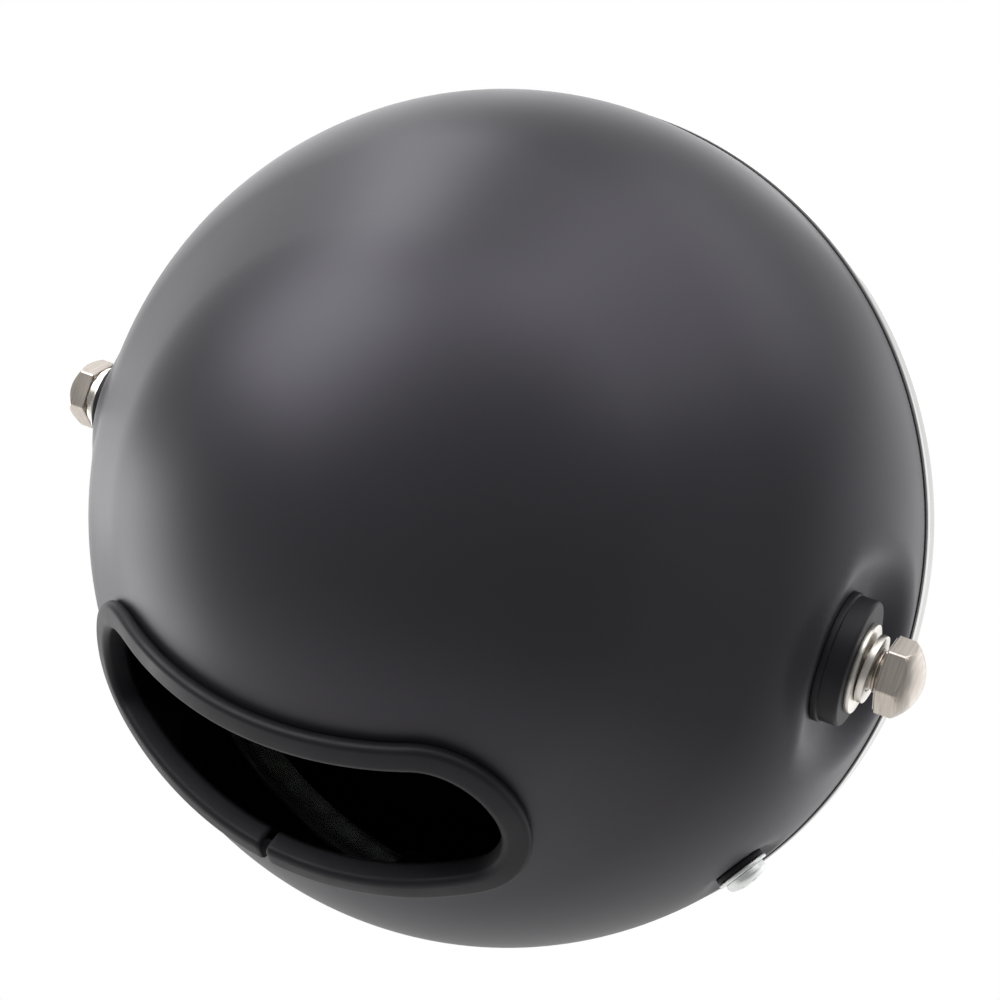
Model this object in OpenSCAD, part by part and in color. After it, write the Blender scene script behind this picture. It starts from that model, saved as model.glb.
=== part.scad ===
// Round motorcycle headlight: pressed bucket, bezel, lens unit and side bolts
// Millimetres. Lamp axis along Y with the lens facing -Y, Z up.
// The origin is where the lamp axis crosses the line of the two side bolts.

/* [Shell] */
// Outer radius of the bucket at its front edge
shell_r = 88; // [70:0.5:105]
// Thickness of the pressed sheet
shell_wall = 1.2; // [1:0.1:1.8]
// Straight length behind the front edge before the shoulder starts to curve
shell_straight = 5.4; // [2:0.5:8]
// Radius of the shoulder curve
shoulder_r = 60; // [54:0.5:66]
// Slope of the cone between shoulder and nose, from the lamp axis
cone_angle = 43.9; // [38:0.1:46]
// Radius of the rounded nose
nose_r = 76.9; // [66:0.1:80]
// Degrees of curve for each facet band of the bucket's profile
band_step = 4; // [2:1:8]

/* [Side pads] */
// Distance of the side bolts behind the bucket's front edge
bolt_back = 24.75; // [22:0.25:34]
// Distance of each pressed pad's flat inside the bucket's greatest radius
pad_in = 8.3; // [6:0.1:10]
// Radius of the flat of each pad
pad_flat_r = 13.2; // [12.8:0.1:15]
// Slope of the pad's flank where it stands proud of the bucket
boss_angle = 40; // [25:1:50]
// Slope of the pad's flank where it is sunk into the bucket
dimple_angle = 50; // [35:1:58]

/* [Side bolts] */
// Radius of the bolt's thread
bolt_r = 4; // [3:0.5:5]
// Clearance round the bolt in the bucket
bolt_hole_clear = 1; // [0.6:0.1:1.5]
// Clearance round a thread
thread_clear = 0.3; // [0.2:0.05:0.5]
// Width of the hexagon across its flats
hex_flats = 13; // [11:0.5:15]
// Height of the bolt's head with its domed top
head_h = 7.3; // [6:0.1:9]
// Radius of the sphere that domes the head
head_dome_r = 9.2; // [8.8:0.1:12]
// Bare thread between the split washer and the right head
bare_thread = 1.1; // [0.8:0.1:3]
// Length of the thread past the weld nut
thread_past = 3.9; // [1:0.1:6]
// Height of the weld nut
weld_nut_h = 7; // [5:0.5:9]
// Outer radius of the rubber washer
rubber_r = 12.1; // [10:0.1:12.4]
// Thickness of the right rubber washer
rubber_h = 5.1; // [3:0.1:7]
// Thickness of the left rubber washer, which is tightened hard
left_rubber_h = 3.9; // [3:0.1:7]
// Height of the lip at the foot of the rubber washer
rubber_lip_h = 1.3; // [0.8:0.1:2]
// How far that lip stands out
rubber_lip_out = 0.4; // [0.2:0.1:0.7]
// Outer radius of the flat washer
flat_r = 8.6; // [7.5:0.1:10]
// Thickness of the flat washer
flat_h = 1.5; // [1:0.1:2]
// How far the flat washer hangs below the bolt's line
flat_drop = 0.5; // [0:0.1:0.6]
// Outer radius of the split washer
split_r = 6.6; // [6:0.1:7.4]
// Thickness of the split washer
split_h = 2; // [1.4:0.1:2.5]
// Width of the gap in the split washer
split_gap = 1.2; // [0.6:0.1:2]

/* [Wire opening] */
// Sideways place of the opening's middle
opening_x = 6.3; // [0:0.1:8]
// Half the distance between the centres of the opening's two lobes
lobe_x = 35.1; // [26:0.1:37]
// Distance of the lobe centres above the lowest point of the bucket
lobe_up = 43.7; // [41:0.1:48]
// Radius of each lobe of the cut
lobe_r = 11.7; // [8:0.1:13]
// How far the middle of the top edge dips below the lobes
waist_dip = 5.65; // [3:0.05:7]
// Radius of the opening's bottom edge
low_r = 78; // [66:1:90]
// How far the trim covers the sheet outside the cut
trim_out = 3.4; // [2.8:0.1:5.5]
// How far the trim reaches inside the cut
trim_in = 1.7; // [1.2:0.1:3]
// How far the trim stands proud of the sheet
trim_proud = 3.3; // [2.6:0.1:4]
// Radius of the rounding along the trim's crest
trim_round = 2.2; // [1:0.1:2.4]
// Thickness of the trim's foot inside the bucket
trim_foot = 1.4; // [1:0.1:2]
// Clearance between the trim's channel and the sheet
trim_clear = 0.3; // [0.2:0.05:0.4]
// Width of the butt joint in the trim
joint_w = 1.2; // [0.4:0.1:2]
// Sideways place of the butt joint
joint_x = 8; // [0:0.5:14]

/* [Bezel] */
// How far the bezel stands out past the bucket
bezel_out = 0.5; // [0.3:0.1:1.5]
// Thickness of the bezel sheet
bezel_wall = 0.8; // [0.7:0.1:1.2]
// Thickness of the seal between bucket and bezel
seal_h = 1.2; // [0.8:0.1:2]
// Width of the straight band at the back of the bezel
band_w = 4.8; // [3:0.1:7]
// How far the bezel curves in
bezel_in = 8; // [6:0.5:9]
// How far the bezel curves forward past its straight band
bezel_fwd = 12; // [9:0.5:15]
// Width of the flat lip round the lens
lip_w = 2; // [1.5:0.1:3]
// Depth of the turned-in flange at the back of the bezel
flange_w = 3.1; // [2.6:0.1:3.5]

/* [Lens and reflector] */
// Height of the lens's bulge
lens_bulge = 12; // [8:0.5:18]
// Thickness of the lens
lens_wall = 3; // [2.5:0.1:4]
// Thickness of the rubber ring between bezel lip and lens
lens_seal_h = 1.5; // [1:0.1:2]
// Focal length of the reflector
focal_length = 24; // [23:0.5:26]
// Thickness of the reflector sheet
mirror_wall = 1; // [0.8:0.1:1.5]
// How far the lens and reflector rims reach past the lip
unit_past = 1.5; // [1:0.1:2]
// Clearance between the lip and the lens's bulge
lip_clear = 0.8; // [0.5:0.1:1.2]
// Width of the lens's rim that the reflector leaves clear
mirror_in = 1.5; // [1:0.1:2]
// Radius of the hole for the bulb
bulb_hole_r = 18; // [17:0.5:19]
// Length of the collar round the bulb hole
collar_h = 4.4; // [4:0.1:6]
// Width of each spring clip that holds the lens unit
clip_w = 10; // [6:1:14]
// Thickness of each spring clip
clip_wall = 1; // [0.8:0.1:1.2]
// How far each clip and bracket reaches behind the bezel's flange
clip_reach = 1; // [0.8:0.1:1.6]
// How far each clip's foot reaches behind the reflector's rim
clip_foot = 2.3; // [1.5:0.1:3]

/* [Bulb] */
// Radius of the bulb's glass
glass_r = 8; // [7:0.5:9]
// Thickness of the bulb's glass
glass_wall = 0.8; // [0.6:0.1:1]
// Length of the bulb's glass
glass_l = 30; // [26:1:34]
// Radius of the bulb's flange
bulb_flange_r = 21.5; // [20.5:0.1:22]
// Radius of the connector block
plug_r = 12.5; // [11:0.5:13]
// Length of the bulb's metal neck in front of its flange
neck_l = 12; // [10:0.5:14]
// Radius of that neck
neck_r = 11; // [10:0.5:12]
// Thickness of the bulb's flange
bulb_flange_h = 1; // [0.8:0.1:1.4]
// Length of the bulb's insulator behind its flange
insulator_l = 7; // [5:0.5:9]
// Radius of that insulator
insulator_r = 9; // [8:0.5:10]
// Length of each contact blade
blade_l = 8; // [7:0.5:10]
// Width of each contact blade
blade_w = 8; // [6:0.1:8.4]
// Thickness of each contact blade
blade_h = 0.8; // [0.6:0.1:1]
// Distance of each contact blade from the lamp axis
blade_at = 5; // [4.5:0.1:6]
// Clearance round a contact blade in the connector
blade_clear = 0.4; // [0.2:0.1:0.5]
// Length of the filament's coil
coil_l = 7; // [5:0.5:9]
// Distance of that coil behind the round end of the glass
coil_in = 0; // [0:0.5:3]
// Thickness of the bulb's retaining ring
ring_h = 1.2; // [0.8:0.1:1.6]
// Length of the connector block
plug_l = 12.8; // [11:0.2:15]
// Distance between the bulb's insulator and the connector block
plug_gap = 1.2; // [0.8:0.1:2]
// Thickness of the rubber boot
boot_wall = 2; // [1.5:0.1:2.5]
// Clearance between the boot and what it goes round
boot_clear = 0.5; // [0.3:0.1:1.1]
// Length of the boot's grip over the reflector's collar
boot_grip = 2.6; // [2:0.1:3.6]
// Length of the boot's sleeve along the connector block
sleeve_l = 4; // [3:0.5:6]

/* [Rim screws] */
// Distance of the rim screws behind the bucket's front edge
screw_back = 15.2; // [13:0.2:20]
// Angle of the rim screws below the side bolts
screw_drop = 32.8; // [28:0.1:40]
// Radius of the rim screw's thread
screw_r = 2.5; // [2:0.5:3]
// Depth of the round flat pressed in for each rim screw
seat_sink = 1.4; // [1:0.1:2]
// Radius of that flat
seat_flat_r = 6.1; // [5.8:0.1:7]
// Radius of the rim screw's pan head
pan_r = 4.4; // [4:0.1:5]
// Height of the pan head
pan_h = 2.4; // [2:0.1:3]
// Radius of the sphere that domes the pan head
pan_dome_r = 6.4; // [5.5:0.1:9]
// Width of each slot of the cross in the pan head
cross_w = 1; // [0.8:0.1:1.2]
// Length of each slot of the cross
cross_l = 5; // [4:0.1:6]
// Depth of the cross
cross_h = 1.3; // [0.8:0.1:1.6]
// Radius of the bright washer under the pan head
screw_washer_r = 5.5; // [5:0.1:5.8]
// Thickness of the bright washer
screw_washer_h = 0.8; // [0.6:0.1:1.2]
// Radius of the small rubber washer
screw_rubber_r = 5.25; // [5:0.05:5.8]
// Thickness of the small rubber washer
screw_rubber_h = 1.3; // [1:0.1:2]
// Clearance round the rim screw in the bucket
screw_hole_clear = 0.6; // [0.3:0.1:1]
// Distance between the bracket and the pressed flat
bracket_gap = 1; // [0.6:0.1:2]
// Length of the bracket past the rim screw
bracket_past = 6; // [5:0.5:6]
// Thickness of the bracket's sheet
bracket_wall = 1.5; // [1.2:0.1:2]
// Width of the bracket
bracket_w = 14; // [12:0.5:16]
// Height of the rim nut
rim_nut_h = 4; // [3:0.2:5]
// Width of the rim nut across its flats
rim_nut_flats = 8; // [7:0.5:9]
// Length of the rim screw past its nut
rim_past = 1.5; // [1:0.1:3]

/* [Hidden] */
$fn = 96;

// Sides: +1 is the left one seen by the rider, -1 the right one
LEFT = 1;
RIGHT = -1;
PAST = 1;
DEEP = 20;
BLACK = "#2b2c2e";
RUBBER = "#1c1c1d";
STEEL = "#c9c3ba";
ZINC = "#9da0a2";
CHROME = "#d5d3cf";
GLASS = "#cfdde0";

// Bucket profile: the shoulder turns about one centre and the nose about another
shoulder_c = shell_r - shoulder_r;
pad_x = shell_r - pad_in;
lobe_drop = shell_r - lobe_up;
nose_c = (shoulder_c * cos(cone_angle) + shell_straight * sin(cone_angle) + shoulder_r - nose_r) / sin(cone_angle);

function steps(a, b) = [for (i = [0 : ceil((b - a) / band_step)]) a + (b - a) * i / ceil((b - a) / band_step)];
function shoulder_pts(off) = [for (u = steps(0, cone_angle))
  [shoulder_c + (shoulder_r + off) * cos(u), shell_straight + (shoulder_r + off) * sin(u)]];
function nose_pts(off) = [for (u = steps(cone_angle, 90))
  [max(0, (nose_r + off) * cos(u)), nose_c + (nose_r + off) * sin(u)]];
function bucket_pts(off, front) = concat([[0, front], [shell_r + off, front]], shoulder_pts(off), nose_pts(off));

// Profiles are drawn as radius against distance behind the bucket's front edge
module lamp() {
  translate([0, -bolt_back, 0]) rotate([-90, 0, 0]) children();
}

module turned(pts) {
  lamp() rotate_extrude() polygon(pts);
}

// Places a part along a side bolt's line, with its z pointing outwards from x0
module side(s, x0) {
  translate([s * x0, 0, 0]) rotate([0, s * 90, 0]) children();
}

module ring(r_out, r_in, h) {
  difference() {
    cylinder(r = r_out, h = h);
    translate([0, 0, -PAST]) cylinder(r = r_in, h = h + 2 * PAST);
  }
}

module hex(flats, h) {
  rotate([0, 0, 30]) cylinder(r = flats / 2 / cos(30), h = h, $fn = 6);
}

// Pressed pad: off is 0 for the outer skin and minus the wall for the inner one
module pad_boss(s, off) {
  r_top = pad_flat_r + off * (1 / cos(boss_angle) - tan(boss_angle));
  side(s, pad_x + off - DEEP) cylinder(r1 = r_top + DEEP * tan(boss_angle), r2 = r_top, h = DEEP);
}

module pad_dimple(s, off) {
  r_foot = pad_flat_r - off * (1 / cos(dimple_angle) - tan(dimple_angle));
  side(s, pad_x + off) cylinder(r1 = r_foot, r2 = r_foot + DEEP * tan(dimple_angle), h = DEEP);
}

// Round flat pressed in for a rim screw
module seat_dimple(s, off) {
  rim_seat(s, off - seat_sink) cylinder(r = seat_flat_r - off, h = DEEP);
}

module bucket_skin(off, front) {
  difference() {
    union() {
      turned(bucket_pts(off, front));
      intersection() {
        union() {
          pad_boss(LEFT, off);
          pad_boss(RIGHT, off);
        }
        turned(bucket_pts(off + pad_in, front));
      }
    }
    pad_dimple(LEFT, off);
    pad_dimple(RIGHT, off);
    seat_dimple(LEFT, off);
    seat_dimple(RIGHT, off);
  }
}

// Wire opening seen along the lamp axis: round lobes, a dipped top and a full bottom edge
function arc(c, r, a, b) = [for (i = [0 : arc_n]) c + r * [sin(a + (b - a) * i / arc_n), -cos(a + (b - a) * i / arc_n)]];
arc_n = 12;
waist_h = (lobe_x * lobe_x - waist_dip * waist_dip) / (2 * waist_dip);
top_a = atan2(lobe_x, waist_h);
low_h = sqrt(pow(low_r - lobe_r, 2) - lobe_x * lobe_x);
low_a = atan2(lobe_x, low_h);
top_c = [0, waist_h];
low_c = [0, low_h];

function opening_pts(grow) = concat(
  arc(top_c, norm([lobe_x, waist_h]) - lobe_r - grow, -top_a, top_a),
  arc([lobe_x, 0], lobe_r + grow, 180 + top_a, low_a),
  arc(low_c, low_r + grow, low_a, -low_a),
  arc([-lobe_x, 0], lobe_r + grow, 360 - low_a, 180 - top_a));

module opening(grow) {
  translate([opening_x, bucket_depth + DEEP - bolt_back, -lobe_drop]) rotate([90, 0, 0])
    linear_extrude(bucket_depth + DEEP - opening_front) polygon(opening_pts(grow));
}

bucket_depth = nose_c + nose_r;
opening_front = shell_straight + shoulder_r * sin(cone_angle) - DEEP / 2;
trim_n = 3;

module shell() color(BLACK) difference() {
  bucket_skin(0, 0);
  bucket_skin(-shell_wall, -PAST);
  opening(0);
  bolt_hole(LEFT);
  bolt_hole(RIGHT);
  rim_hole(LEFT);
  rim_hole(RIGHT);
}

module bolt_hole(s) {
  side(s, pad_x - DEEP) cylinder(r = bolt_r + bolt_hole_clear, h = 2 * DEEP);
}

module trim_band(out, in, over, under) {
  difference() {
    intersection() {
      opening(out);
      turned(bucket_pts(over, 0));
    }
    opening(-in);
    turned(bucket_pts(under, -PAST));
  }
}

// Rounded trim: a channel that grips the sheet, with its crest built up in bands
module wire_opening_trim() color(RUBBER) difference() {
  union() {
    trim_band(trim_out, trim_in, trim_proud - trim_round, -shell_wall - trim_clear - trim_foot);
    for (i = [1 : trim_n]) let (a = 90 * i / trim_n, d = trim_round * (1 - cos(a)))
      trim_band(trim_out - d, trim_in - d, trim_proud - trim_round * (1 - sin(a)), 0);
  }
  difference() {
    turned(bucket_pts(trim_clear, 0));
    turned(bucket_pts(-shell_wall - trim_clear, -PAST));
    opening(-trim_clear);
  }
  translate([joint_x - joint_w / 2, 0, -shell_r]) cube([joint_w, shell_r, shell_r - lobe_drop - lobe_r]);
}

// Bezel: straight band, forward curve, flat lip, and a turned-in flange at the back
bezel_r = shell_r + bezel_out;
bezel_back = -seal_h;
bezel_bend = bezel_back - band_w;
flange_r = bezel_r - flange_w;
lip_back = bezel_bend - bezel_fwd + bezel_wall;
lip_out_r = bezel_r - bezel_in;
lip_in_r = lip_out_r - lip_w;
bezel_n = 14;
function bezel_curve(t) = [for (i = [0 : bezel_n])
  [lip_out_r + (bezel_in - t) * cos(90 * i / bezel_n), bezel_bend - (bezel_fwd - t) * sin(90 * i / bezel_n)]];

module bezel() color(CHROME) turned(concat(
  [[flange_r, bezel_back], [bezel_r, bezel_back]],
  bezel_curve(0),
  [[lip_in_r, lip_back - bezel_wall], [lip_in_r, lip_back]],
  flip(bezel_curve(bezel_wall)),
  [[bezel_r - bezel_wall, bezel_back - bezel_wall], [flange_r, bezel_back - bezel_wall]]));

module bezel_seal() color(RUBBER) lamp() translate([0, 0, -seal_h]) ring(shell_r + bezel_out / 2, flange_r, seal_h);

// Lens unit: the lens's rim lies behind the seal and the reflector's rim behind the lens
lens_front = lip_back + lens_seal_h;
lens_back = lens_front + lens_wall;
lens_r = lip_out_r + unit_past;
lens_face_r = lip_in_r - lip_clear;
cap_n = 20;
function cap_pts(r, depth, base) = [for (i = [0 : cap_n]) [r * (1 - i / cap_n), base - depth * (1 - pow(1 - i / cap_n, 2))]];
function flip(v) = [for (i = [len(v) - 1 : -1 : 0]) v[i]];

module lens() color(GLASS, 0.5) turned(concat(
  [[lens_r, lens_back], [lens_r, lens_front]],
  cap_pts(lens_face_r, lens_bulge, lens_front),
  flip(cap_pts(lens_face_r - lens_wall, lens_bulge, lens_back))));

module lens_seal() color(RUBBER) lamp() translate([0, 0, lip_back])
  ring(lip_out_r, lip_in_r, lens_seal_h);

mirror_r = lens_face_r - mirror_in;
mirror_back = lens_back + (mirror_r * mirror_r - bulb_hole_r * bulb_hole_r) / (4 * focal_length);
mirror_n = 20;
function mirror_pts(t) = [for (i = [0 : mirror_n]) let (r = bulb_hole_r + (mirror_r - bulb_hole_r) * i / mirror_n,
  g = r / (2 * focal_length), n = t / norm([1, g])) [r + n * g, lens_back + (mirror_r * mirror_r - r * r) / (4 * focal_length) + n]];
mirror_outer = [for (p = mirror_pts(mirror_wall)) if (p[1] > lens_back + mirror_wall && p[0] > bulb_hole_r + mirror_wall) p];
collar_end = mirror_back + collar_h;

module reflector() color(ZINC) turned(concat(
  flip(mirror_pts(0)),
  [[bulb_hole_r, collar_end], [bulb_hole_r + mirror_wall, collar_end],
    [bulb_hole_r + mirror_wall, mirror_back + mirror_wall / 2]],
  mirror_outer,
  [[mirror_pts(mirror_wall)[mirror_n][0], lens_back + mirror_wall], [lens_r, lens_back + mirror_wall], [lens_r, lens_back]]));

// Spring clip from the reflector's rim to the bezel's flange, turned round the lamp
module unit_clip(a) {
  z0 = lens_back + mirror_wall;
  z1 = bezel_back - bezel_wall;
  color(ZINC) translate([0, -bolt_back, 0]) rotate([0, a, 0]) translate([0, 0, -clip_w / 2]) linear_extrude(clip_w)
    polygon([[lens_r - clip_foot, z0], [lens_r + clip_wall, z0], [lens_r + clip_wall, z1 - clip_wall],
      [flange_r + clip_reach, z1 - clip_wall], [flange_r + clip_reach, z1], [lens_r, z1],
      [lens_r, z0 + clip_wall], [lens_r - clip_foot, z0 + clip_wall]]);
}

module unit_clip_top() unit_clip(-90);
module unit_clip_bottom() unit_clip(90);
module unit_clip_left() unit_clip(0);
module unit_clip_right() unit_clip(180);

// Bulb: its flange rests on the collar, with the glass in front and the blades behind
glass_seat = collar_end - neck_l;
glass_tip = glass_seat - glass_l;
glass_c = glass_tip + glass_r;
bulb_rear = collar_end + bulb_flange_h + insulator_l;
coil_r = 1.6;
lead_r = 0.8;

module at(z) {
  lamp() translate([0, 0, z]) children();
}

module bulb_base() color(STEEL) union() {
  at(glass_seat) cylinder(r = neck_r, h = neck_l);
  at(collar_end) cylinder(r = bulb_flange_r, h = bulb_flange_h);
  at(collar_end) cylinder(r = insulator_r, h = bulb_rear - collar_end);
  blades(0, PAST);
}

module blades(grow, past) {
  for (a = [0, 90, 180]) at(bulb_rear - past) rotate([0, 0, a])
    translate([blade_at - blade_h / 2 - grow, -blade_w / 2 - grow, 0])
    cube([blade_h + 2 * grow, blade_w + 2 * grow, blade_l + grow + past]);
}

module bulb_glass() color(GLASS, 0.5) difference() {
  union() {
    at(glass_c) cylinder(r = glass_r, h = glass_l - glass_r);
    at(glass_c) sphere(r = glass_r);
  }
  at(glass_c) cylinder(r = glass_r - glass_wall, h = glass_l);
  at(glass_c) sphere(r = glass_r - glass_wall);
}

module bulb_filament() color(STEEL) union() {
  at(glass_c + coil_in) cylinder(r = lead_r, h = glass_l - glass_r - coil_in);
  at(glass_c + coil_in) cylinder(r = coil_r, h = coil_l);
}

module bulb_retaining_ring() color(ZINC) at(collar_end + bulb_flange_h) ring(bulb_flange_r, neck_r + boot_clear, ring_h);

boot_in = bulb_flange_r + 2 * boot_clear;
boot_lip = bulb_hole_r + mirror_wall + boot_clear;
boot_front = collar_end - boot_grip;
boot_back = collar_end + bulb_flange_h + ring_h + boot_wall;
boot_sleeve = plug_r + boot_clear;
plug_front = bulb_rear + plug_gap;
module bulb_boot() color(RUBBER) turned([[boot_lip, boot_front], [boot_in + boot_wall, boot_front],
  [boot_in + boot_wall, boot_back + boot_wall / 2], [boot_in, boot_back + boot_wall],
  [boot_sleeve + boot_wall, boot_back + boot_wall], [boot_sleeve + boot_wall, plug_front + sleeve_l],
  [boot_sleeve, plug_front + sleeve_l], [boot_sleeve, boot_back], [boot_in, boot_back],
  [boot_in, boot_front + boot_wall * 0.75], [boot_lip, boot_front + boot_wall * 0.75]]);

module bulb_connector() color(BLACK) difference() {
  at(plug_front) cylinder(r = plug_r, h = plug_l);
  blades(blade_clear, 2 * PAST);
}

// Side bolts: each face is measured along the bolt's line from the lamp axis
function rubber_t(s) = s == LEFT ? left_rubber_h : rubber_h;
function bare(s) = s == LEFT ? 0 : bare_thread;
function rubber_face(s) = pad_x + rubber_t(s);
function flat_face(s) = rubber_face(s) + flat_h;
function head_face(s) = flat_face(s) + split_h + bare(s);
weld_face = pad_x - shell_wall - weld_nut_h;
bolt_end = weld_face - thread_past;

module side_bolt(s) color(STEEL) union() {
  side(s, head_face(s)) intersection() {
    hex(hex_flats, head_h);
    translate([0, 0, head_h - head_dome_r]) sphere(r = head_dome_r);
  }
  side(s, bolt_end) cylinder(r = bolt_r, h = head_face(s) - bolt_end + PAST);
}

module split_washer(s) color(STEEL) difference() {
  side(s, flat_face(s)) ring(split_r, bolt_r + thread_clear, split_h);
  side(s, flat_face(s)) rotate([0, 0, 60]) translate([0, -split_gap / 2, -PAST])
    cube([split_r + PAST, split_gap, split_h + 2 * PAST]);
}

module flat_washer(s) color(STEEL) translate([0, 0, -flat_drop])
  side(s, rubber_face(s)) ring(flat_r, bolt_r + thread_clear + flat_drop, flat_h);

module rubber_washer(s) color(RUBBER) difference() {
  union() {
    side(s, pad_x) cylinder(r = rubber_r + rubber_lip_out, h = rubber_lip_h);
    side(s, pad_x) cylinder(r = rubber_r, h = rubber_t(s));
  }
  side(s, pad_x - PAST) cylinder(r = bolt_r + thread_clear, h = rubber_h + left_rubber_h);
}

module weld_nut(s) color(ZINC) difference() {
  side(s, weld_face) hex(hex_flats, weld_nut_h);
  side(s, weld_face - PAST) cylinder(r = bolt_r + thread_clear, h = weld_nut_h + 2 * PAST);
}

module left_bolt() side_bolt(LEFT);
module right_bolt() side_bolt(RIGHT);
module left_split_washer() split_washer(LEFT);
module right_split_washer() split_washer(RIGHT);
module left_flat_washer() flat_washer(LEFT);
module right_flat_washer() flat_washer(RIGHT);
module left_rubber_washer() rubber_washer(LEFT);
module right_rubber_washer() rubber_washer(RIGHT);
module left_weld_nut() weld_nut(LEFT);
module right_weld_nut() weld_nut(RIGHT);

// Rim screws stand square to the lamp axis, each on a flat pressed into the shoulder
seat_r = shoulder_c + sqrt(shoulder_r * shoulder_r - pow(screw_back - shell_straight, 2));
flat_at = seat_r - seat_sink;
strip_r = flat_at - shell_wall - bracket_gap;
nut_face = strip_r - bracket_wall;
rim_head = screw_rubber_h + screw_washer_h - seat_sink;
rim_end = nut_face - rim_nut_h - rim_past - seat_r;

module rim_plane(s) {
  translate([0, -bolt_back, 0]) rotate([0, s > 0 ? screw_drop : 180 - screw_drop, 0]) children();
}

// Places a part along a rim screw's line, h outside the bucket's own curve
module rim_seat(s, h) {
  rim_plane(s) translate([seat_r + h, screw_back, 0]) rotate([0, 90, 0]) children();
}

module rim_hole(s) {
  rim_seat(s, -DEEP / 2) cylinder(r = screw_r + screw_hole_clear, h = DEEP);
}

module rim_screw(s) color(STEEL) difference() {
  union() {
    rim_seat(s, rim_head) intersection() {
      cylinder(r = pan_r, h = pan_h);
      translate([0, 0, pan_h - pan_dome_r]) sphere(r = pan_dome_r);
    }
    rim_seat(s, rim_end) cylinder(r = screw_r, h = rim_head - rim_end + pan_h / 4);
  }
  for (a = [45, 135]) rim_seat(s, rim_head + pan_h - cross_h) rotate([0, 0, a])
    translate([-cross_l / 2, -cross_w / 2, 0]) cube([cross_l, cross_w, pan_h]);
}

module rim_screw_washer(s) color(STEEL) rim_seat(s, screw_rubber_h - seat_sink)
  ring(screw_washer_r, screw_r + thread_clear, screw_washer_h);

module rim_rubber_washer(s) color(RUBBER) rim_seat(s, -seat_sink)
  ring(screw_rubber_r, screw_r + thread_clear, screw_rubber_h);

// Bracket: hooked on the bezel's flange, then straight back to the rim screw
module rim_bracket(s) color(ZINC) difference() {
  rim_plane(s) translate([0, 0, -bracket_w / 2]) linear_extrude(bracket_w) polygon([
    [strip_r, screw_back + bracket_past],
    [strip_r, bezel_back - bezel_wall],
    [flange_r + clip_reach, bezel_back - bezel_wall],
    [flange_r + clip_reach, bezel_back - bezel_wall - bracket_wall],
    [nut_face, bezel_back - bezel_wall - bracket_wall],
    [nut_face, screw_back + bracket_past]]);
  rim_seat(s, -DEEP / 2) cylinder(r = screw_r + thread_clear, h = DEEP);
}

module rim_nut(s) color(ZINC) difference() {
  rim_seat(s, nut_face - rim_nut_h - seat_r) hex(rim_nut_flats, rim_nut_h);
  rim_seat(s, -DEEP) cylinder(r = screw_r + thread_clear, h = 2 * DEEP);
}

module left_rim_screw() rim_screw(LEFT);
module right_rim_screw() rim_screw(RIGHT);
module left_rim_screw_washer() rim_screw_washer(LEFT);
module right_rim_screw_washer() rim_screw_washer(RIGHT);
module left_rim_rubber_washer() rim_rubber_washer(LEFT);
module right_rim_rubber_washer() rim_rubber_washer(RIGHT);
module left_rim_bracket() rim_bracket(LEFT);
module right_rim_bracket() rim_bracket(RIGHT);
module left_rim_nut() rim_nut(LEFT);
module right_rim_nut() rim_nut(RIGHT);

shell();
wire_opening_trim();
bezel();
bezel_seal();
lens();
lens_seal();
reflector();
unit_clip_top();
unit_clip_bottom();
unit_clip_left();
unit_clip_right();
bulb_glass();
bulb_filament();
bulb_base();
bulb_retaining_ring();
bulb_boot();
bulb_connector();
left_bolt();
left_split_washer();
left_flat_washer();
left_rubber_washer();
left_weld_nut();
right_bolt();
right_split_washer();
right_flat_washer();
right_rubber_washer();
right_weld_nut();
left_rim_screw();
left_rim_screw_washer();
left_rim_rubber_washer();
left_rim_bracket();
left_rim_nut();
right_rim_screw();
right_rim_screw_washer();
right_rim_rubber_washer();
right_rim_bracket();
right_rim_nut();
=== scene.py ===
import math

import bmesh
import bpy
from mathutils import Matrix, Quaternion, Vector


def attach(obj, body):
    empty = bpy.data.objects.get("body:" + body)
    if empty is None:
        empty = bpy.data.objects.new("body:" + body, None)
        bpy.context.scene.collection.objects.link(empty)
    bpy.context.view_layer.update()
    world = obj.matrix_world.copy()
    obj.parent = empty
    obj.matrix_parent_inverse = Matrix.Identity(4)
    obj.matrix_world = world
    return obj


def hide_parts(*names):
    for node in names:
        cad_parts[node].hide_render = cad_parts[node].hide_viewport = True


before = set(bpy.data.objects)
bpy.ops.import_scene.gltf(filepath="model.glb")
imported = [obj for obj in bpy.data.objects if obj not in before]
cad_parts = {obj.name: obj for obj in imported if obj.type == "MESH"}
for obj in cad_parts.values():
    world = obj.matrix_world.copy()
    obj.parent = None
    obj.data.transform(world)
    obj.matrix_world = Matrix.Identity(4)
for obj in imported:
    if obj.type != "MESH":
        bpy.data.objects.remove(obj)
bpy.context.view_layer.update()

MM = 0.001
LEFT = 1
RIGHT = -1
BODY = "root"

# Driving sizes of the bucket, in millimetres; the front edge is at y = -BOLT_BACK
SHELL_R = 88.0
SHELL_WALL = 1.2
SHELL_STRAIGHT = 5.4
SHOULDER_R = 60.0
CONE_ANGLE = math.radians(43.9)
NOSE_R = 76.9
BOLT_BACK = 24.75

# Pressed pads that carry the side bolts, and how far their flanks blend into the bucket
PAD_X = 79.7
PAD_FLAT_R = 13.2
PAD_BLEND_R = 24.0
PAD_BOSS_R = 12.6
PAD_BOSS_BLEND_R = 17.0

# Side bolt stack; the left washers are drawn small, as the photo hides all but a line of them
RUBBER_R = 12.1
RUBBER_H = 5.1
LEFT_RUBBER_R = 9.6
LEFT_RUBBER_H = 3.9
RUBBER_LIP_H = 1.3
RUBBER_LIP_OUT = 0.4
FLAT_R = 8.6
LEFT_FLAT_R = 7.7
FLAT_H = 1.5
FLAT_DROP = 0.5
SPLIT_R = 6.6
SPLIT_H = 2.0
SPLIT_GAP = 1.2
SPLIT_AT = math.radians(-115)
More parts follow.
